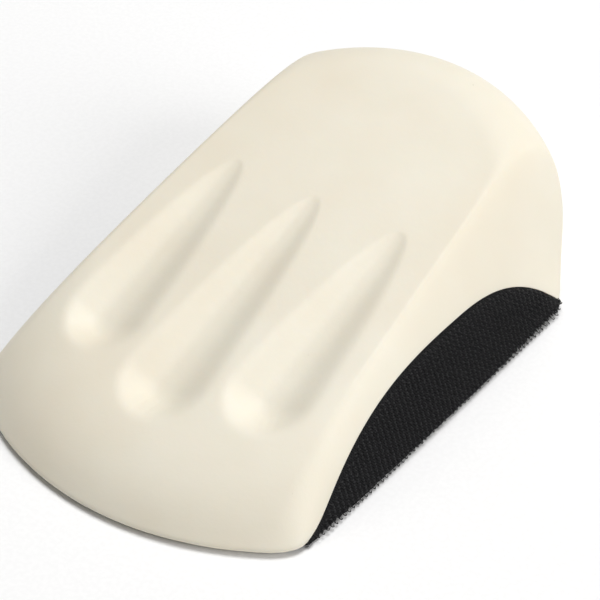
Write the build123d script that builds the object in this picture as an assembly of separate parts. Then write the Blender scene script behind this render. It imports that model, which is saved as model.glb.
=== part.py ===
from build123d import *

import os
from math import cos, hypot, pi, radians, sin, sqrt, tan

# Frame: X across the block, Y from the low nose to the high heel, Z up. The origin is the centre
# of the round nose's base arc, on the plane that the hook tips touch. Millimetres.

# Base outline of the grip: a sanding disc's arc in front, two nearly straight sides, a round heel.
DISC_RADIUS = 75.0
HALF_WIDTH = 47.0
SIDE_BOW = 0.6
SIDE_BOW_SPAN = 55.0
HEEL_RADIUS = 55.3
HEEL_CENTRE_Y = 13.0

# Lean of each wall towards the grip's middle, from vertical. The heel leans out a little.
SIDE_LEAN = radians(15.6)
NOSE_LEAN = radians(39.2)
HEEL_LEAN = radians(-6.9)

# The top: a slope from the heel down to the nose, slightly domed both ways.
TOP_HEIGHT = 30.2
TOP_SLOPE = 0.27
TOP_DOME_LONG = 0.00046
TOP_DOME_ACROSS = 0.00057

# Softening of each wall into its neighbours.
BLEND_POWER = 2.21
TOP_SOFTNESS = 21.0
TOP_SOFTNESS_SLOPE = 0.193
SIDE_SOFTNESS_NOSE = 4.6
SIDE_SOFTNESS_HEEL = 5.2
SIDE_SOFTNESS_TOP = 3.6
NOSE_SOFTNESS_BASE = 1.6
NOSE_SOFTNESS_TOP = 10.7
HEEL_SOFTNESS_BASE = 1.6
HEEL_SOFTNESS_TOP = 22.5
SOFTENING_HEIGHT = 22.5
SOFTENING_START_Y = -10.0
SOFTENING_SPAN_Y = 60.0

# Finger grooves: X, Y of the round front end, Y of the pointed rear end, half width, depth. The
# width and the depth fade towards the rear end, and the section is a smooth round-bottomed trough.
GROOVES = (
    (-23.5, -37.0, 10.8, 12.0, 3.4),
    (0.0, -44.8, 9.8, 12.3, 3.6),
    (23.5, -37.0, 10.8, 12.0, 3.4),
)
GROOVE_TIP_HALF_WIDTH = 0.3
GROOVE_TAPER = 0.45
GROOVE_RISE = 0.70
GROOVE_FULLNESS = 2.58
GROOVE_SECTION = 3.27

# Layers of the facing, from the grip outwards. They lie in a shallow recess of the grip.
FACING_RADIUS = 67.1
FACING_CENTRE_Y = -5.5
FILM = 0.15
BACKING = 0.65
HOOKS = 1.1
RECESS = 0.9
JOINT_GAP = 0.03
PROUD = FILM + BACKING + HOOKS - RECESS
BASE_Z = PROUD

# The facing is a flat disc whose two sides fold up the walls as round-topped flaps. A flap's
# edge falls from its crest by a power of the distance from there, and levels out at both ends.
FLAP_CREST_Y = 6.8
FLAP_CREST_HEIGHT = 20.0
FLAP_FRONT_REACH = 60.3
FLAP_FRONT_FULLNESS = 2.5
FLAP_REAR_REACH = 38.5
FLAP_REAR_FULLNESS = 2.5
FLAP_FRONT_Y = -54.2
FLAP_REAR_Y = 44.0
FLAP_END_HEIGHT = 2.2
FLAP_END_SOFTNESS = 1.6
FLAP_SECTIONS = 32
FLAP_POINTS = 6

# Sections that carry the grip's skin. Each lies in a plane through a line across the base, and the
# planes turn from flat at the nose, through upright, to flat at the heel.
SECTIONS = 60
SECTION_POINTS = 80
LAST_SECTION_Y = 48.0
FAN_HALF_WIDTH = 47.0
FAN_HEIGHT_NOSE = 18.0
FAN_HEIGHT_HEEL = 24.0
FAN_HEIGHT_GAIN = 20.0
RAY_LENGTH = 110.0
RAY_STEPS = 30


def ease(share):
    """Smooth step from 0 to 1."""
    share = min(max(share, 0.0), 1.0)
    return share * share * (3 - 2 * share)


def mix(low, high, share):
    return low + (high - low) * share


def side_edge(y):
    """Half the grip's width at its base."""
    return HALF_WIDTH - SIDE_BOW * (y / SIDE_BOW_SPAN) ** 2


def groove_depth(x, y):
    """How far the finger grooves lower the top at a point."""
    depth = 0.0
    for centre_x, front_y, rear_y, half_width, full_depth in GROOVES:
        if y >= rear_y:
            continue
        left = 1 - max(y - front_y, 0) / (rear_y - front_y)
        width = half_width * left**GROOVE_TAPER + GROOVE_TIP_HALF_WIDTH
        off = hypot(x - centre_x, min(y - front_y, 0)) / width
        if off < 1:
            depth += full_depth * left**GROOVE_RISE * (1 - off**GROOVE_FULLNESS) ** GROOVE_SECTION
    return depth


def top_height(x, y):
    dome = TOP_DOME_LONG * y * y + TOP_DOME_ACROSS * x * x
    return TOP_HEIGHT + TOP_SLOPE * y - dome - groove_depth(x, y)


def wall_field(x, y, z, offset):
    """Below 1 inside the grip grown by the offset, 1 on its skin."""
    rise = z - BASE_Z
    high = ease(rise / SOFTENING_HEIGHT)
    rear = ease((y - SOFTENING_START_Y) / SOFTENING_SPAN_Y)
    nose_radius = hypot(x, min(y, 0))
    heel_radius = hypot(x, max(y - HEEL_CENTRE_Y, 0))
    side_softness = mix(SIDE_SOFTNESS_NOSE, SIDE_SOFTNESS_HEEL, rear)
    walls = (
        (
            (abs(x) - side_edge(y) + rise * tan(SIDE_LEAN)) * cos(SIDE_LEAN),
            mix(side_softness, SIDE_SOFTNESS_TOP, high),
        ),
        (
            (nose_radius - DISC_RADIUS + rise * tan(NOSE_LEAN)) * cos(NOSE_LEAN),
            mix(NOSE_SOFTNESS_BASE, NOSE_SOFTNESS_TOP, high),
        ),
        (
            (heel_radius - HEEL_RADIUS + rise * tan(HEEL_LEAN)) * cos(HEEL_LEAN),
            mix(HEEL_SOFTNESS_BASE, HEEL_SOFTNESS_TOP, high),
        ),
        (
            z - top_height(x, y),
            TOP_SOFTNESS + TOP_SOFTNESS_SLOPE * y,
        ),
    )
    total = 0.0
    for distance, softness in walls:
        total += max((distance + softness) / (softness + offset), 0) ** BLEND_POWER
    return total


def skin_point(start, direction, offset):
    """Where a ray from inside the grip meets its skin."""
    near = 0.0
    far = RAY_LENGTH
    for _ in range(RAY_STEPS):
        middle = (near + far) / 2
        point = [a + middle * b for a, b in zip(start, direction)]
        if wall_field(*point, offset) < 1:
            near = middle
        else:
            far = middle
    return [a + near * b for a, b in zip(start, direction)]


def skin_section(share, offset):
    """Closed outline of one section: an arch over the grip and a straight line across its base."""
    front_y = -sqrt(DISC_RADIUS**2 - side_edge(-SIDE_BOW_SPAN) ** 2)
    start = (0.0, mix(front_y, LAST_SECTION_Y, share), BASE_Z - offset)
    along = 2 * share - 1
    end_height = FAN_HEIGHT_NOSE if along < 0 else FAN_HEIGHT_HEEL
    height = end_height + FAN_HEIGHT_GAIN * (1 - abs(along))
    tilt = along * pi / 2
    shares = [i / SECTION_POINTS for i in range(SECTION_POINTS + 1)]
    points = []
    for across in shares:
        swing = (across - 0.5) * pi
        reach = height * cos(swing)
        aim = Vector(FAN_HALF_WIDTH * sin(swing), reach * sin(tilt), reach * cos(tilt)).normalized()
        points.append(skin_point(start, tuple(aim), offset))
    arch = Edge.make_spline(points, parameters=shares)
    return Wire([arch, Edge.make_line(arch @ 1, arch @ 0)])


def skin_solid(offset):
    """The grip's outer shape with a flat base, grown or shrunk by the offset."""
    return Solid.make_loft([skin_section(i / SECTIONS, offset) for i in range(SECTIONS + 1)])


def wall_x(y, z, offset):
    """Half width of the grip, grown by the offset, at one height."""
    return skin_point((0.0, y, z), (1.0, 0.0, 0.0), offset)[0]


def flap_top(y):
    """Height of the flap's round upper edge."""
    if y < FLAP_CREST_Y:
        fall = ((FLAP_CREST_Y - y) / FLAP_FRONT_REACH) ** FLAP_FRONT_FULLNESS
    else:
        fall = ((y - FLAP_CREST_Y) / FLAP_REAR_REACH) ** FLAP_REAR_FULLNESS
    arc = FLAP_CREST_HEIGHT * (1 - fall) - FLAP_END_HEIGHT
    return FLAP_END_HEIGHT + (arc + hypot(arc, FLAP_END_SOFTNESS)) / 2


def flap_section(y, inner, outer, gap):
    """Closed outline across one flap: inner wall line, top edge, outer wall line, bottom edge."""
    low = BASE_Z - outer
    high = flap_top(y) - gap
    shares = [i / FLAP_POINTS for i in range(FLAP_POINTS + 1)]
    heights = [mix(low, high, share) for share in shares]
    inside_points = [(wall_x(y, z, inner), y, z) for z in heights]
    outside_points = [(wall_x(y, z, outer), y, z) for z in reversed(heights)]
    inside = Edge.make_spline(inside_points, parameters=shares)
    outside = Edge.make_spline(outside_points, parameters=shares)
    top = Edge.make_line(inside @ 1, outside @ 0)
    bottom = Edge.make_line(outside @ 1, inside @ 0)
    return Wire([inside, top, outside, bottom])


def facing_flap(inner, outer, gap):
    """The part of a layer that stands up the right-hand wall."""
    stations = [
        mix(FLAP_FRONT_Y + gap, FLAP_REAR_Y - gap, i / FLAP_SECTIONS) for i in range(FLAP_SECTIONS + 1)
    ]
    return Solid.make_loft([flap_section(y, inner, outer, gap) for y in stations])


def facing_sole(inner, outer, gap):
    """The part of a layer that lies under the grip, ending inside the flaps' thickness."""
    middle = (inner + outer) / 2
    stations = [mix(FLAP_FRONT_Y, FLAP_REAR_Y, i / FLAP_SECTIONS) for i in range(FLAP_SECTIONS + 1)]
    side = [(wall_x(y, BASE_Z - inner, middle), y) for y in stations]
    right = Edge.make_spline(side)
    left = Edge.make_spline([(-x, y) for x, y in reversed(side)])
    front_x = side[0][0]
    rear_x = side[-1][0]
    front = Polyline(left @ 1, (-front_x, -DISC_RADIUS), (front_x, -DISC_RADIUS), right @ 0)
    rear = Polyline(right @ 1, (rear_x, DISC_RADIUS), (-rear_x, DISC_RADIUS), left @ 0)
    outline = Face(Wire([right, *rear.edges(), left, *front.edges()]))
    slab = extrude(outline, outer - inner, dir=(0, 0, 1))
    disc = Cylinder(FACING_RADIUS - gap, outer - inner, align=(Align.CENTER, Align.CENTER, Align.MIN))
    return Pos(0, 0, BASE_Z - outer) * (slab & (Pos(0, FACING_CENTRE_Y, 0) * disc))


def facing_layer(inner, outer, gap=JOINT_GAP):
    """One layer of the facing, between two offsets from the grip's skin."""
    flap = facing_flap(inner + gap, outer, gap)
    return (facing_sole(inner + gap, outer, gap) + flap + mirror(flap, Plane.YZ)).solid()


def grip_body():
    """The moulded grip, with the recess that takes the facing."""
    return (skin_solid(0) - facing_layer(-RECESS, 2 * PROUD, 0)).solid()


def main():
    film_top = FILM - RECESS
    ground_top = film_top + BACKING
    parts = {
        "grip_body": grip_body(),
        "bond_film": facing_layer(-RECESS, film_top),
        "hook_backing": facing_layer(film_top, ground_top),
        "hook_pile": facing_layer(ground_top, ground_top + HOOKS),
    }
    os.makedirs("parts", exist_ok=True)
    for name, part in parts.items():
        part.label = name
        export_step(part, f"parts/{name}.step")


main()
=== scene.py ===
from math import cos, pi, radians, sin, tan

import bpy
import numpy as np
from mathutils import Matrix, Vector


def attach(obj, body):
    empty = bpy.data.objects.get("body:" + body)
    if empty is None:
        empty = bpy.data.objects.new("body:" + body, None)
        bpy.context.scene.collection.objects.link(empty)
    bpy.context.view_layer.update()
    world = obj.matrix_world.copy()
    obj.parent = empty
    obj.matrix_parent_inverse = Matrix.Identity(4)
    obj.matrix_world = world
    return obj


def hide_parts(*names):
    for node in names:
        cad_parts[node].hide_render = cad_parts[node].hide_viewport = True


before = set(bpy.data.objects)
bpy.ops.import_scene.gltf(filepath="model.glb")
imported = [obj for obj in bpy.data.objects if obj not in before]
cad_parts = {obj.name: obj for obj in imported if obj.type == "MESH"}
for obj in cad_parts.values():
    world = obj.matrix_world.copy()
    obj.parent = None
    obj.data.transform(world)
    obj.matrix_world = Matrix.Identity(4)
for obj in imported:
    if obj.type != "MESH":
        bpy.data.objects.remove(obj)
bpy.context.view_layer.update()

# Frame: X across the block, Y from the low nose to the high heel, Z up. The origin is the centre
# of the round nose's base arc, on the plane that the hook tips touch. The shape is worked out in
# millimetres, as in the CAD, and scaled to metres when a mesh is made.
MM = 0.001

# ---------------------------------------------------------------- the grip's shape, as in the CAD

DISC_RADIUS = 75.0
HALF_WIDTH = 47.0
SIDE_BOW = 0.6
SIDE_BOW_SPAN = 55.0
HEEL_RADIUS = 55.3
HEEL_CENTRE_Y = 13.0
SIDE_LEAN = radians(15.6)
NOSE_LEAN = radians(39.2)
HEEL_LEAN = radians(-6.9)
TOP_HEIGHT = 30.2
TOP_SLOPE = 0.27
TOP_DOME_LONG = 0.00046
TOP_DOME_ACROSS = 0.00057
BLEND_POWER = 2.21
TOP_SOFTNESS = 21.0
TOP_SOFTNESS_SLOPE = 0.193
SIDE_SOFTNESS_NOSE = 4.6
SIDE_SOFTNESS_HEEL = 5.2
SIDE_SOFTNESS_TOP = 3.6
NOSE_SOFTNESS_BASE = 1.6
NOSE_SOFTNESS_TOP = 10.7
HEEL_SOFTNESS_BASE = 1.6
HEEL_SOFTNESS_TOP = 22.5
SOFTENING_HEIGHT = 22.5
SOFTENING_START_Y = -10.0
SOFTENING_SPAN_Y = 60.0
# Finger grooves: X, Y of the round front end, Y of the pointed rear end, half width, depth. The
# width and the depth fade towards the rear end.
GROOVES = (
    (-23.5, -37.0, 10.8, 12.0, 3.4),
    (0.0, -44.8, 9.8, 12.3, 3.6),
    (23.5, -37.0, 10.8, 12.0, 3.4),
)
GROOVE_TIP_HALF_WIDTH = 0.3
GROOVE_TAPER = 0.45
GROOVE_RISE = 0.70
GROOVE_FULLNESS = 2.58
GROOVE_SECTION = 3.27
BASE_Z = 1.0

# The facing lies in a recess and its hooks stand proud. Depths below the grip's skin.
RECESS = 0.9
FILM_TOP = 0.75
GROUND_TOP = 0.1
HOOK_LENGTH = 1.1

# The facing's outline: a disc under the block, a little wider towards its front corners, and
# round-topped flaps up the sides that end in a low point at the front.
FACING_RADIUS = 67.1
FACING_CENTRE_Y = -5.5
FACING_CORNER_GAIN = 1.4
FACING_CORNER_X = (30.0, 46.0)
FLAP_CREST_Y = 6.8
FLAP_CREST_HEIGHT = 19.3
FLAP_FRONT_REACH = 60.3
FLAP_FRONT_FULLNESS = 2.57
FLAP_TIP_Y = -56.0
FLAP_TIP_SLOPE = 0.28
FLAP_REAR_REACH = 38.5
FLAP_REAR_FULLNESS = 2.52

# The lower edge's rounding, where the grip shows and where the facing folds round it, and the Y
# range in which one turns into the other at either end. At the fold the woven ground swells.
EDGE_ROUND = 0.7
FOLD_ROUND = 0.5
FOLD_BLEND_Y = (-57.0, -50.0, 44.0, 50.0)
FOLD_BULGE = 0.75
FOLD_DOWN = 0.25

# The grip's mesh: meridians through a pole behind the grooves, and rings round it. The rings crowd
# a little at the facing's edge.
POLE_Y = 13.0
MERIDIANS = 520
MERIDIAN_SLIMNESS = 0.72
UNDER_RINGS = 26
UNDER_CROWDING = 0.8
UPPER_RINGS = 150
UPPER_CROWDING = 0.25
# A chamfer this wide and deep softens the recess's rim.
LIP = 0.12
# Each meridian's points before it is cut into rings.
FINE_UNDER = 120
FINE_ROUND = 24
FINE_UPPER = 420
# A wall's lean is read this many points up. Its points start this far above the edge's rounding.
LEAN_STEP = 8
EDGE_CLEARANCE = 0.02
# The film and the ground: their rings, the clearance under each, and how far each stops short of
# the facing's outline.
SHEET_RINGS = 90
SHEET_CROWDING = 0.6
LAYER_GAP = 0.02
FILM_GAP = 0.25
GROUND_GAP = 0.06
# Rays that find the skin: their length, and how many times it is halved.
RAY_LENGTH = 110.0
RAY_STEPS = 34
SMOOTHING_TIMES = 3
SHARP_ANGLE = radians(38.0)
TINY = 1e-12


def ease(share):
    share = np.clip(share, 0.0, 1.0)
    return share * share * (3 - 2 * share)


def mix(low, high, share):
    return low + (high - low) * share


def side_edge(y):
    return HALF_WIDTH - SIDE_BOW * (y / SIDE_BOW_SPAN) ** 2


def groove_depth(x, y):
    """How far the finger grooves lower the top."""
    depth = np.zeros_like(x)
    for centre_x, front_y, rear_y, half_width, full_depth in GROOVES:
        left = np.clip(1 - np.maximum(y - front_y, 0) / (rear_y - front_y), 0, 1)
        width = half_width * left**GROOVE_TAPER + GROOVE_TIP_HALF_WIDTH
        off = np.hypot(x - centre_x, np.minimum(y - front_y, 0)) / width
        section = (1 - np.clip(off, 0, 1) ** GROOVE_FULLNESS) ** GROOVE_SECTION
        depth = depth + np.where(y < rear_y, full_depth * left**GROOVE_RISE * section, 0)
    return depth


def top_height(x, y):
    dome = TOP_DOME_LONG * y * y + TOP_DOME_ACROSS * x * x
    return TOP_HEIGHT + TOP_SLOPE * y - dome - groove_depth(x, y)


def wall_field(x, y, z):
    """Below 1 inside the grip, 1 on its skin."""
    rise = z - BASE_Z
    high = ease(rise / SOFTENING_HEIGHT)
    rear = ease((y - SOFTENING_START_Y) / SOFTENING_SPAN_Y)
    nose_radius = np.hypot(x, np.minimum(y, 0))
    heel_radius = np.hypot(x, np.maximum(y - HEEL_CENTRE_Y, 0))
    side_softness = mix(SIDE_SOFTNESS_NOSE, SIDE_SOFTNESS_HEEL, rear)
    walls = (
        (
            (np.abs(x) - side_edge(y) + rise * tan(SIDE_LEAN)) * cos(SIDE_LEAN),
            mix(side_softness, SIDE_SOFTNESS_TOP, high),
        ),
        (
            (nose_radius - DISC_RADIUS + rise * tan(NOSE_LEAN)) * cos(NOSE_LEAN),
            mix(NOSE_SOFTNESS_BASE, NOSE_SOFTNESS_TOP, high),
        ),
        (
            (heel_radius - HEEL_RADIUS + rise * tan(HEEL_LEAN)) * cos(HEEL_LEAN),
            mix(HEEL_SOFTNESS_BASE, HEEL_SOFTNESS_TOP, high),
        ),
        (
            z - top_height(x, y),
            TOP_SOFTNESS + TOP_SOFTNESS_SLOPE * y,
        ),
    )
    total = 0.0
    for distance, softness in walls:
        total = total + np.maximum((distance + softness) / softness, 0) ** BLEND_POWER
    return total


def skin_reach(start, aim):
    """How far rays from inside the grip run before they meet its skin."""
    near = np.zeros(aim[0].shape)
    far = np.full(aim[0].shape, RAY_LENGTH)
    for _ in range(RAY_STEPS):
        middle = (near + far) / 2
        inside = wall_field(*(a + middle * b for a, b in zip(start, aim))) < 1
        near = np.where(inside, middle, near)
        far = np.where(inside, far, middle)
    return near


# ------------------------------------------------------------------------- the facing's outline


def flap_top(y):
    """Height of the facing's edge up the walls."""
    front = FLAP_CREST_HEIGHT * (
        1 - (np.maximum(FLAP_CREST_Y - y, 0) / FLAP_FRONT_REACH) ** FLAP_FRONT_FULLNESS
    )
    rear = FLAP_CREST_HEIGHT * (
        1 - (np.maximum(y - FLAP_CREST_Y, 0) / FLAP_REAR_REACH) ** FLAP_REAR_FULLNESS
    )
    front = np.maximum(front, BASE_Z + FLAP_TIP_SLOPE * (y - FLAP_TIP_Y))
    return np.where(y < FLAP_CREST_Y, front, rear)


def past_disc(x, y):
    """How far a point lies past the facing's disc, which widens where it runs into the folds."""
    low, high = FACING_CORNER_X
    gain = FACING_CORNER_GAIN * ease((np.abs(x) - low) / (high - low)) * (y < 0)
    return np.hypot(x, y - FACING_CENTRE_Y) - FACING_RADIUS - gain


def lower_rounding(y):
    """Radius of the grip's lower edge at the sides."""
    nose, front, rear, heel = FOLD_BLEND_Y
    share = ease((y - nose) / (front - nose)) - ease((y - rear) / (heel - rear))
    return mix(EDGE_ROUND, FOLD_ROUND, share)


# ---------------------------------------------------------------------- the grip's whole surface


def fine_meridians():
    """Each meridian from the underside's middle to the pole above, as (radius, height) points."""
    turn = np.arange(MERIDIANS) / MERIDIANS * 2 * pi
    # With equal turns the meridians would crowd at the sides, so turns follow a slim ellipse.
    aim_x = np.sin(turn) * MERIDIAN_SLIMNESS
    aim_y = -np.cos(turn)
    size = np.hypot(aim_x, aim_y)
    aim_x = aim_x / size
    aim_y = aim_y / size
    climb = np.linspace(0, pi / 2, FINE_UPPER)
    flat = np.cos(climb)[None, :]
    rise = np.broadcast_to(np.sin(climb), (MERIDIANS, FINE_UPPER))
    aim = (aim_x[:, None] * flat, aim_y[:, None] * flat, rise)
    reach = skin_reach((0.0, POLE_Y, BASE_Z), aim)
    radius = reach * flat
    height = BASE_Z + reach * np.sin(climb)[None, :]
    edge = radius[:, 0]
    edge_y = POLE_Y + edge * aim_y
    rounding = lower_rounding(edge_y)
    lean = np.arctan2(edge - radius[:, LEAN_STEP], height[:, LEAN_STEP] - BASE_Z)
    corner = (pi / 2 - lean) / 2
    setback = rounding / np.tan(corner)
    rows = []
    for k in range(MERIDIANS):
        centre = edge[k] - setback[k]
        under = np.linspace(0, 1, FINE_UNDER) * centre
        along = np.linspace(0, 1, FINE_ROUND + 2)[1:-1]
        swing = -pi / 2 + along * (pi / 2 + lean[k])
        arc_r = centre + rounding[k] * np.cos(swing)
        arc_z = BASE_Z + rounding[k] + rounding[k] * np.sin(swing)
        start_z = BASE_Z + setback[k] * cos(lean[k])
        keep = height[k] > start_z + EDGE_CLEARANCE
        upper_r = radius[k][keep]
        upper_z = height[k][keep]
        grown = np.linspace(0, 1, FINE_UPPER)
        old = np.linspace(0, 1, len(upper_r))
        rows.append(
            (
                np.concatenate([under, arc_r, np.interp(grown, old, upper_r)]),
                np.concatenate([under * 0 + BASE_Z, arc_z, np.interp(grown, old, upper_z)]),
            )
        )
    line_r = np.array([r for r, _ in rows])
    line_z = np.array([z for _, z in rows])
    return aim_x, aim_y, line_r, line_z


def sample_meridians():
    """The skin's fine meridians, their run lengths, and how far along each the facing's edge lies.
    """
    aim_x, aim_y, line_r, line_z = fine_meridians()
    x = line_r * aim_x[:, None]
    y = POLE_Y + line_r * aim_y[:, None]
    under = np.arange(line_r.shape[1]) < FINE_UNDER
    margin = np.where(under[None, :], past_disc(x, y), line_z - flap_top(y))
    run = np.concatenate(
        [
            np.zeros((MERIDIANS, 1)),
            np.cumsum(np.hypot(np.diff(line_r, axis=1), np.diff(line_z, axis=1)), axis=1),
        ],
        axis=1,
    )
    edge = np.zeros(MERIDIANS)
    for k in range(MERIDIANS):
        i = int(np.argmax(margin[k] > 0))
        before = margin[k, i - 1]
        after = margin[k, i]
        edge[k] = run[k, i - 1] + (run[k, i] - run[k, i - 1]) * before / (before - after)
    return aim_x, aim_y, line_r, line_z, run, smooth_round(edge)


def smooth_round(values):
    """Evens out small steps between neighbours on a closed line."""
    for _ in range(SMOOTHING_TIMES):
        values = (np.roll(values, 1) + 2 * values + np.roll(values, -1)) / 4
    return values


def ring_points(shape, runs):
    """Points and normals at given lengths along each meridian. runs has one row per meridian."""
    aim_x, aim_y, line_r, line_z, run, _ = shape
    r = np.array([np.interp(runs[k], run[k], line_r[k]) for k in range(MERIDIANS)])
    z = np.array([np.interp(runs[k], run[k], line_z[k]) for k in range(MERIDIANS)])
    points = np.stack([r * aim_x[:, None], POLE_Y + r * aim_y[:, None], z], axis=-1)
    around = np.roll(points, -1, axis=0) - np.roll(points, 1, axis=0)
    along = np.gradient(points, axis=1)
    normals = np.cross(around, along)
    size = np.linalg.norm(normals, axis=-1, keepdims=True)
    normals = normals / np.maximum(size, TINY)
    return points, normals


def closed_grid(rings):
    """Faces of rings stacked from one pole to the other, each pole one shared vertex."""
    count, around = rings.shape[0], rings.shape[1]
    verts = rings[1:-1].reshape(-1, 3)
    south = len(verts)
    north = south + 1
    verts = np.vstack([verts, rings[0].mean(axis=0), rings[-1].mean(axis=0)])
    faces = []
    for j in range(count - 3):
        low = j * around
        high = low + around
        for k in range(around):
            n = (k + 1) % around
            faces.append((low + k, low + n, high + n, high + k))
    last = (count - 3) * around
    for k in range(around):
        n = (k + 1) % around
        faces.append((south, n, k))
        faces.append((north, last + k, last + n))
    return verts, faces


def make_object(name, verts, faces, material, sharp_angle=None):
    """A mesh object in metres from points in millimetres."""
    mesh = bpy.data.meshes.new(name)
    mesh.from_pydata((np.asarray(verts) * MM).tolist(), [], faces)
    mesh.validate()
    mesh.shade_smooth()
    if sharp_angle is not None:
        mesh.set_sharp_from_angle(angle=sharp_angle)
    mesh.materials.append(material)
    obj = bpy.data.objects.new(name, mesh)
    bpy.context.scene.collection.objects.link(obj)
    return obj


def grip_mesh(shape):
    """Closed skin of the grip with the recess for the facing."""
    run = shape[4]
    edge = shape[5]
    total = run[:, -1]
    low = np.linspace(0, 1, UNDER_RINGS) ** UNDER_CROWDING
    steps = np.linspace(0, 1, UPPER_RINGS)
    steps = mix(steps, steps * steps, UPPER_CROWDING)
    under_runs = edge[:, None] * low[None, :]
    upper_runs = edge[:, None] + LIP + (total - edge - LIP)[:, None] * steps[None, :]
    under, under_normals = ring_points(shape, under_runs)
    upper, _ = ring_points(shape, upper_runs)
    rim, rim_normals = ring_points(shape, np.stack([edge, edge + LIP], axis=1))
    under = under - under_normals * RECESS
    under[:, 0] = under[:, 0].mean(axis=0)
    rim_low = rim[:, 0] - rim_normals[:, 0] * LIP
    rings = np.concatenate([under, rim_low[:, None], upper], axis=1)
    return closed_grid(np.swapaxes(rings, 0, 1))


def fold_share(normals):
    """1 where the skin turns from the sole into a wall, 0 on either side of that."""
    down = -normals[..., 2]
    return ease(down / FOLD_DOWN) * ease((1 - down) / FOLD_DOWN)


def sheet_mesh(shape, inner, outer, gap, bulge=0.0):
    """Closed thin sheet between two depths below the skin, inside the facing's outline."""
    edge = shape[5]
    steps = np.linspace(0, 1, SHEET_RINGS) ** SHEET_CROWDING
    points, normals = ring_points(shape, (edge - gap)[:, None] * steps[None, :])
    low = points - normals * inner
    high = points - normals * (outer - bulge * fold_share(normals)[..., None])
    low[:, 0] = low[:, 0].mean(axis=0)
    high[:, 0] = high[:, 0].mean(axis=0)
    both = np.concatenate([high, low[:, ::-1]], axis=1)
    return closed_grid(np.swapaxes(both, 0, 1))


# ------------------------------------------------------------------------------------- the hooks

# The skin's cross-section that hooks stand on: the angle up to which it is traced, and its points.
SECTION_CLIMB = 0.75
SECTION_UNDER = 60
SECTION_ROUND = 22
SECTION_UPPER = 160
SECTION_LEAN_STEP = 6
# Rows run across the block, each half a pitch from the next and starting at its own share of it.
ROW_PITCH = 1.5
COLUMN_PITCH = 1.4
ROW_STARTS = (0.75, 0.25)
# Roots keep this far inside the facing's edge, on the walls and under the block.
FLAP_MARGIN = 0.55
DISC_MARGIN = 0.6
FIRST_ROW_Y = FACING_CENTRE_Y - FACING_RADIUS + DISC_MARGIN
WALL_FRONT_Y = -55.6
WALL_REAR_Y = 44.6
# A section's slope and a normal's share above which a point counts as being on a wall.
WALL_SLOPE = 0.1
WALL_SHARE = 0.02
WIRE_RADIUS = 0.115
WIRE_SIDES = 4
TIP_SHARE = 0.62
# One hook, as (along, up) shares of its length: a stem that leans a little and a tip curled over
# and down.
HOOK_LINE = (
    (0.0, -0.08),
    (0.02, 0.34),
    (0.03, 0.66),
    (0.11, 0.88),
    (0.28, 0.985),
    (0.46, 0.90),
    (0.55, 0.70),
)
SOLE_LINE = (HOOK_LINE[0], *HOOK_LINE[2:])
# How hooks differ: turn in radians, length, and root in millimetres. They are longer at the fold.
TURN_SPREAD = 0.30
LENGTH_SPREAD = 0.05
ROOT_SPREAD = 0.07
FOLD_STRETCH = 0.25
HOOK_SEED = 7
# The sole's hooks are three pieces, split at these Y.
SOLE_SPLIT_Y = (-28.0, 17.0)


def cross_section(y):
    """The right half of the skin at one Y, from the middle of the underside up the wall."""
    climb = np.linspace(0.0, SECTION_CLIMB, SECTION_UPPER)
    aim = (np.cos(climb), np.zeros_like(climb), np.sin(climb))
    reach = skin_reach((0.0, y, BASE_Z), aim)
    wall_x = reach * aim[0]
    wall_z = BASE_Z + reach * aim[2]
    edge = wall_x[0]
    lean = np.arctan2(edge - wall_x[SECTION_LEAN_STEP], wall_z[SECTION_LEAN_STEP] - BASE_Z)
    rounding = float(lower_rounding(y))
    setback = rounding / tan((pi / 2 - lean) / 2)
    under = np.linspace(0, 1, SECTION_UNDER) * (edge - setback)
    swing = -pi / 2 + np.linspace(0, 1, SECTION_ROUND)[1:-1] * (pi / 2 + lean)
    arc_x = edge - setback + rounding * np.cos(swing)
    arc_z = BASE_Z + rounding + rounding * np.sin(swing)
    keep = wall_z > BASE_Z + setback * cos(lean) + EDGE_CLEARANCE
    x = np.concatenate([under, arc_x, wall_x[keep]])
    z = np.concatenate([under * 0 + BASE_Z, arc_z, wall_z[keep]])
    return x, z


def hook_roots():
    """Roots and unit normals of one half's hooks, in staggered rows across the facing."""
    roots = []
    normals = []
    row = 0
    y = FIRST_ROW_Y
    while y < FACING_CENTRE_Y + FACING_RADIUS:
        # Past the side walls the outline belongs to the nose and the heel, and the row stays under
        # the block.
        reach_y = min(max(y, WALL_FRONT_Y), WALL_REAR_Y)
        x, z = cross_section(reach_y)
        run = np.concatenate([[0.0], np.cumsum(np.hypot(np.diff(x), np.diff(z)))])
        slope_x = np.gradient(x, run)
        slope_z = np.gradient(z, run)
        above = (z > flap_top(np.full_like(z, y))) & (slope_z > WALL_SLOPE)
        length = run[int(np.argmax(above))] if above.any() else run[-1]
        first = COLUMN_PITCH * ROW_STARTS[row % 2]
        spots = np.arange(first, length - FLAP_MARGIN, COLUMN_PITCH)
        at_x = np.interp(spots, run, x)
        at_z = np.interp(spots, run, z)
        normal_x = np.interp(spots, run, slope_z)
        normal_z = -np.interp(spots, run, slope_x)
        inside = np.where(
            normal_x > WALL_SHARE,
            reach_y == y,
            past_disc(at_x, y) < -DISC_MARGIN,
        )
        for k in np.nonzero(inside)[0]:
            normal = np.array([normal_x[k], 0.0, normal_z[k]])
            normal = normal / np.linalg.norm(normal)
            roots.append(np.array([at_x[k], y, at_z[k]]) - normal * GROUND_TOP)
            normals.append(normal)
        y += ROW_PITCH / 2
        row += 1
    return np.array(roots), np.array(normals)


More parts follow.
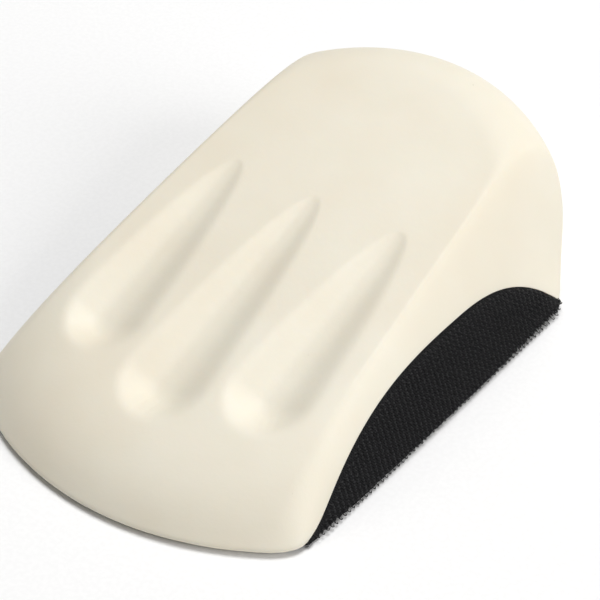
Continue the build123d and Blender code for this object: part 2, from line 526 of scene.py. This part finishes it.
def hook_mesh(roots, normals, line, random):
    """Bent square wires on their roots. Neighbouring rows curl opposite ways."""
    count = len(roots)
    rows = np.round((roots[:, 1] - FIRST_ROW_Y) / (ROW_PITCH / 2)).astype(int)
    across = np.cross(normals, np.array([0.0, 1.0, 0.0]))
    flip = np.where(rows % 2, 1.0, -1.0)
    turn = random.normal(0.0, TURN_SPREAD, count)
    along_rows = np.array([[0.0, 1.0, 0.0]])
    ahead = along_rows * (np.cos(turn) * flip)[:, None] + across * np.sin(turn)[:, None]
    beside = np.cross(normals, ahead)
    stretch = 1 - np.abs(random.normal(0.0, LENGTH_SPREAD, count))
    stretch = stretch + FOLD_STRETCH * fold_share(normals)
    shift = random.uniform(-ROOT_SPREAD, ROOT_SPREAD, (count, 2))
    origin = roots + across * shift[:, :1] + along_rows * shift[:, 1:]
    line = np.array(line) * HOOK_LENGTH
    tangent = np.gradient(line, axis=0)
    tangent = tangent / np.linalg.norm(tangent, axis=1, keepdims=True)
    verts = []
    for s, (point, way) in enumerate(zip(line, tangent)):
        side = np.array([-way[1], way[0]])
        slim = TIP_SHARE if s == len(line) - 1 else 1.0
        for c in range(WIRE_SIDES):
            swing = (c + 0.5) / WIRE_SIDES * 2 * pi
            off_flat = cos(swing) * WIRE_RADIUS * slim
            off_side = sin(swing) * WIRE_RADIUS * slim
            along = point[0] + side[0] * off_flat
            up = (point[1] + side[1] * off_flat) * stretch
            verts.append(origin + ahead * along + normals * up[:, None] + beside * off_side)
    stack = np.stack(verts, axis=1)
    per_hook = stack.shape[1]
    pattern = []
    for s in range(len(line) - 1):
        for c in range(WIRE_SIDES):
            n = (c + 1) % WIRE_SIDES
            low = s * WIRE_SIDES
            high = low + WIRE_SIDES
            pattern.append((low + c, low + n, high + n, high + c))
    pattern.append(tuple(range(WIRE_SIDES - 1, -1, -1)))
    top = (len(line) - 1) * WIRE_SIDES
    pattern.append(tuple(top + c for c in range(WIRE_SIDES)))
    pattern = np.array(pattern)
    faces = (pattern[None, :, :] + (np.arange(count) * per_hook)[:, None, None]).reshape(-1, 4)
    return stack.reshape(-1, 3), faces.tolist()


# ----------------------------------------------------------------------------------- materials

# Material lengths are in metres, as Blender's object coordinates are.
THREAD_PITCH = 0.0006


class Graph:
    """A material's node tree, with short calls to add and link nodes."""

    def __init__(self, name):
        self.material = bpy.data.materials.new(name)
        self.material.use_nodes = True
        self.tree = self.material.node_tree
        self.shader = self.tree.nodes["Principled BSDF"]

    def add(self, kind, links=None, **settings):
        node = self.tree.nodes.new(kind)
        for key, value in settings.items():
            setattr(node, key, value)
        for key, value in (links or {}).items():
            self.set(node.inputs[key], value)
        return node

    def set(self, socket, value):
        if isinstance(value, bpy.types.NodeSocket):
            self.tree.links.new(value, socket)
        else:
            socket.default_value = value

    def coordinates(self):
        return self.add("ShaderNodeTexCoord").outputs["Object"]

    def noise(self, scale, detail, roughness, vector=None):
        links = {"Vector": vector or self.coordinates(), "Scale": scale, "Detail": detail}
        links["Roughness"] = roughness
        return self.add("ShaderNodeTexNoise", links).outputs["Fac"]

    def range(self, value, low, high, to_low, to_high):
        links = {"Value": value, "From Min": low, "From Max": high}
        links.update({"To Min": to_low, "To Max": to_high})
        return self.add("ShaderNodeMapRange", links).outputs["Result"]

    def math(self, operation, a, b=0.0):
        return self.add("ShaderNodeMath", {0: a, 1: b}, operation=operation).outputs[0]

    def mix(self, share, a, b):
        node = self.add("ShaderNodeMix", data_type="RGBA")
        self.set(node.inputs[0], share)
        self.set(node.inputs[6], a)
        self.set(node.inputs[7], b)
        return node.outputs[2]

    def bump(self, height, distance, strength, under=None):
        links = {"Height": height, "Distance": distance, "Strength": strength}
        if under is not None:
            links["Normal"] = under
        return self.add("ShaderNodeBump", links).outputs["Normal"]


def foam_material():
    """Cream moulded polyurethane skin: faint clouds of colour, fine grain, scattered pinholes with
    painted shade inside them.
    """
    g = Graph("cream_foam")
    where = g.coordinates()
    clouds = g.noise(22.0, 3.0, 0.55, where)
    patches = g.noise(75.0, 2.0, 0.5, where)
    grain = g.noise(2600.0, 2.0, 0.6, where)
    ripple = g.noise(420.0, 3.0, 0.6, where)
    shade = g.range(clouds, 0.35, 0.65, 0.0, 1.0)
    colour = g.mix(shade, (0.80, 0.735, 0.60, 1), (0.84, 0.795, 0.675, 1))
    colour = g.mix(g.range(patches, 0.4, 0.7, 0.0, 0.35), colour, (0.80, 0.76, 0.63, 1))
    cells = g.add(
        "ShaderNodeTexVoronoi",
        {"Vector": where, "Scale": 170.0, "Randomness": 1.0},
        feature="F1",
    )
    pick = g.add("ShaderNodeSeparateColor", {"Color": cells.outputs["Color"]})
    chosen = g.math("GREATER_THAN", pick.outputs[0], 0.86)
    size = g.range(pick.outputs[1], 0.0, 1.0, 0.018, 0.05)
    near = g.math("LESS_THAN", g.math("DIVIDE", cells.outputs["Distance"], size), 1.0)
    hole = g.math("MULTIPLY", chosen, near)
    # The pinholes' darker colour is painted shade, as if shade fell inside the dents.
    colour = g.mix(g.math("MULTIPLY", hole, 0.30), colour, (0.36, 0.31, 0.22, 1))
    fine = g.bump(grain, 0.00003, 0.35)
    slow = g.bump(ripple, 0.00012, 0.30, fine)
    g.set(g.shader.inputs["Normal"], g.bump(g.math("SUBTRACT", 1.0, hole), 0.00015, 0.6, slow))
    g.set(g.shader.inputs["Base Color"], colour)
    g.set(g.shader.inputs["Roughness"], g.range(ripple, 0.3, 0.7, 0.46, 0.56))
    g.set(g.shader.inputs["Specular IOR Level"], 0.36)
    g.set(g.shader.inputs["Subsurface Weight"], 0.12)
    g.set(g.shader.inputs["Subsurface Radius"], (1.0, 0.72, 0.45))
    g.set(g.shader.inputs["Subsurface Scale"], 0.003)
    return g.material


def ground_material():
    """Black woven ground: two crossed sets of threads, with painted shade in their hollows, and a
    dusty variation.
    """
    g = Graph("black_woven_ground")
    where = g.coordinates()
    parts = g.add("ShaderNodeSeparateXYZ", {"Vector": where})
    warp = g.math("SINE", g.math("MULTIPLY", parts.outputs[1], 2 * pi / THREAD_PITCH))
    reach = g.math("ADD", parts.outputs[0], parts.outputs[2])
    weft = g.math("SINE", g.math("MULTIPLY", reach, 2 * pi / THREAD_PITCH))
    weave = g.math("MULTIPLY", warp, weft)
    fluff = g.noise(1800.0, 3.0, 0.6, where)
    # Painted shade: the colour is darker in the weave's hollows and lighter on its crests,
    # following the bump height.
    weave_painted_shade = g.range(weave, -1.0, 1.0, 0.0, 1.0)
    colour = g.mix(weave_painted_shade, (0.004, 0.004, 0.005, 1), (0.014, 0.014, 0.015, 1))
    colour = g.mix(g.range(fluff, 0.55, 0.75, 0.0, 0.5), colour, (0.022, 0.022, 0.024, 1))
    g.set(g.shader.inputs["Base Color"], colour)
    g.set(g.shader.inputs["Normal"], g.bump(weave, 0.0002, 0.8, g.bump(fluff, 0.0001, 0.5)))
    g.set(g.shader.inputs["Roughness"], g.range(fluff, 0.3, 0.7, 0.8, 0.95))
    g.set(g.shader.inputs["Specular IOR Level"], 0.3)
    return g.material


def hook_material():
    """Black polyamide wire: slightly varied from hook to hook, satin along its length."""
    g = Graph("black_polyamide_hooks")
    where = g.coordinates()
    tufts = g.noise(900.0, 1.0, 0.5, where)
    drift = g.noise(60.0, 2.0, 0.5, where)
    scratches = g.noise(5200.0, 2.0, 0.5, where)
    shade = g.range(tufts, 0.4, 0.62, 0.0, 1.0)
    colour = g.mix(shade, (0.010, 0.010, 0.011, 1), (0.030, 0.030, 0.031, 1))
    colour = g.mix(g.range(drift, 0.35, 0.7, 0.0, 0.4), colour, (0.020, 0.021, 0.025, 1))
    g.set(g.shader.inputs["Base Color"], colour)
    g.set(g.shader.inputs["Roughness"], g.range(tufts, 0.35, 0.65, 0.50, 0.66))
    g.set(g.shader.inputs["Specular IOR Level"], 0.42)
    g.set(g.shader.inputs["Normal"], g.bump(scratches, 0.00002, 0.5))
    return g.material


def film_material():
    """Amber bonding film with trapped haze."""
    g = Graph("bonding_film")
    where = g.coordinates()
    haze = g.noise(140.0, 4.0, 0.6, where)
    shade = g.range(haze, 0.35, 0.7, 0.0, 1.0)
    colour = g.mix(shade, (0.42, 0.36, 0.24, 1), (0.55, 0.50, 0.38, 1))
    g.set(g.shader.inputs["Base Color"], colour)
    g.set(g.shader.inputs["Roughness"], g.range(haze, 0.3, 0.7, 0.35, 0.6))
    g.set(g.shader.inputs["Normal"], g.bump(haze, 0.0001, 0.4))
    return g.material


def floor_material():
    """Plain pale paper."""
    g = Graph("pale_floor")
    tooth = g.noise(900.0, 2.0, 0.5)
    shade = g.range(tooth, 0.4, 0.6, 0.0, 1.0)
    colour = g.mix(shade, (0.90, 0.90, 0.90, 1), (0.92, 0.92, 0.92, 1))
    g.set(g.shader.inputs["Base Color"], colour)
    g.set(g.shader.inputs["Roughness"], 0.9)
    g.set(g.shader.inputs["Specular IOR Level"], 0.1)
    return g.material


# -------------------------------------------------------------------------------------- pieces

MIRRORED = np.array([-1.0, 1.0, 1.0])


def place(obj, slot, *nodes):
    """Puts a piece on the one body, in place of its CAD nodes."""
    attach(obj, "root")
    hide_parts(*nodes)


def build_pieces():
    shape = sample_meridians()
    grip = make_object("grip_skin", *grip_mesh(shape), foam_material(), SHARP_ANGLE)
    place(grip, "grip", "grip_body")
    film = make_object(
        "bond_film_sheet",
        *sheet_mesh(shape, RECESS - LAYER_GAP, FILM_TOP, FILM_GAP),
        film_material(),
    )
    place(film, "film", "bond_film")
    ground = make_object(
        "woven_ground",
        *sheet_mesh(shape, FILM_TOP - LAYER_GAP, GROUND_TOP, GROUND_GAP, FOLD_BULGE),
        ground_material(),
        SHARP_ANGLE,
    )
    place(ground, "backing", "hook_backing")
    roots, normals = hook_roots()
    random = np.random.default_rng(HOOK_SEED)
    black = hook_material()
    wall = normals[:, 0] > WALL_SHARE
    third = np.digitize(roots[:, 1], SOLE_SPLIT_Y)
    groups = (
        ("hooks_right", roots[wall], normals[wall], HOOK_LINE),
        ("hooks_left", roots[wall] * MIRRORED, normals[wall] * MIRRORED, HOOK_LINE),
    )
    for index, label in enumerate(("nose", "middle", "heel")):
        under = ~wall & (third == index)
        both = np.vstack([roots[under], roots[under] * MIRRORED])
        both_normals = np.vstack([normals[under], normals[under] * MIRRORED])
        groups += ((f"hooks_sole_{label}", both, both_normals, SOLE_LINE),)
    for name, at, facing, line in groups:
        verts, faces = hook_mesh(at, facing, line, random)
        verts[:, 2] = np.maximum(verts[:, 2], 0.0)
        place(make_object(name, verts, faces, black), "hooks", "hook_pile")


# --------------------------------------------------------------------------- stage and camera

# The camera's place in millimetres and its axes, as fitted to the photo.
CAMERA_PLACE = (257.88, -314.99, 344.25)
CAMERA_RIGHT = (0.78872, 0.61427, -0.02451)
CAMERA_UP = (-0.37587, 0.51340, 0.77146)
CAMERA_FORWARD = (-0.48647, 0.59924, -0.63581)
CAMERA_LENS = 136.06
SENSOR_WIDTH = 36.0
# In metres.
CAMERA_CLIP = (0.01, 20.0)
FLOOR_SIZE = 6.0
LIGHT_DISTANCE = 2.4
LIGHT_SIZE = 1.2
LIGHT_AIM = (0.0, 0.0, 0.02)
WORLD_STRENGTH = 0.2


def add_camera():
    data = bpy.data.cameras.new("camera")
    data.sensor_width = SENSOR_WIDTH
    data.lens = CAMERA_LENS
    data.clip_start, data.clip_end = CAMERA_CLIP
    camera = bpy.data.objects.new("camera", data)
    bpy.context.scene.collection.objects.link(camera)
    turn = Matrix((CAMERA_RIGHT, CAMERA_UP, tuple(-v for v in CAMERA_FORWARD))).transposed()
    camera.matrix_world = Matrix.Translation(Vector(CAMERA_PLACE) * MM) @ turn.to_4x4()
    bpy.context.scene.camera = camera


def add_floor():
    bpy.ops.mesh.primitive_plane_add(size=FLOOR_SIZE, location=(0, 0, 0))
    floor = bpy.context.object
    floor.name = "floor"
    floor.data.materials.append(floor_material())


def add_light(name, azimuth, elevation, power, colour):
    """A square area light that faces the block. Azimuth 0 is +X, 90 is +Y."""
    data = bpy.data.lights.new(name, "AREA")
    data.size = LIGHT_SIZE
    data.energy = power
    data.color = colour
    lamp = bpy.data.objects.new(name, data)
    bpy.context.scene.collection.objects.link(lamp)
    azimuth = radians(azimuth)
    elevation = radians(elevation)
    aim = Vector((cos(azimuth) * cos(elevation), sin(azimuth) * cos(elevation), sin(elevation)))
    lamp.location = aim * LIGHT_DISTANCE + Vector(LIGHT_AIM)
    lamp.rotation_euler = aim.to_track_quat("Z", "Y").to_euler()


def add_lighting():
    world = bpy.data.worlds.new("studio")
    world.use_nodes = True
    background = world.node_tree.nodes["Background"]
    background.inputs["Color"].default_value = (1.0, 1.0, 1.0, 1)
    background.inputs["Strength"].default_value = WORLD_STRENGTH
    bpy.context.scene.world = world
    add_light("overhead", 100.0, 75.0, 45.0, (1.0, 1.0, 1.0))
    add_light("side", 5.0, 28.0, 26.0, (1.0, 0.985, 0.97))


build_pieces()
add_camera()
add_floor()
add_lighting()
bpy.context.scene.view_settings.view_transform = "Standard"
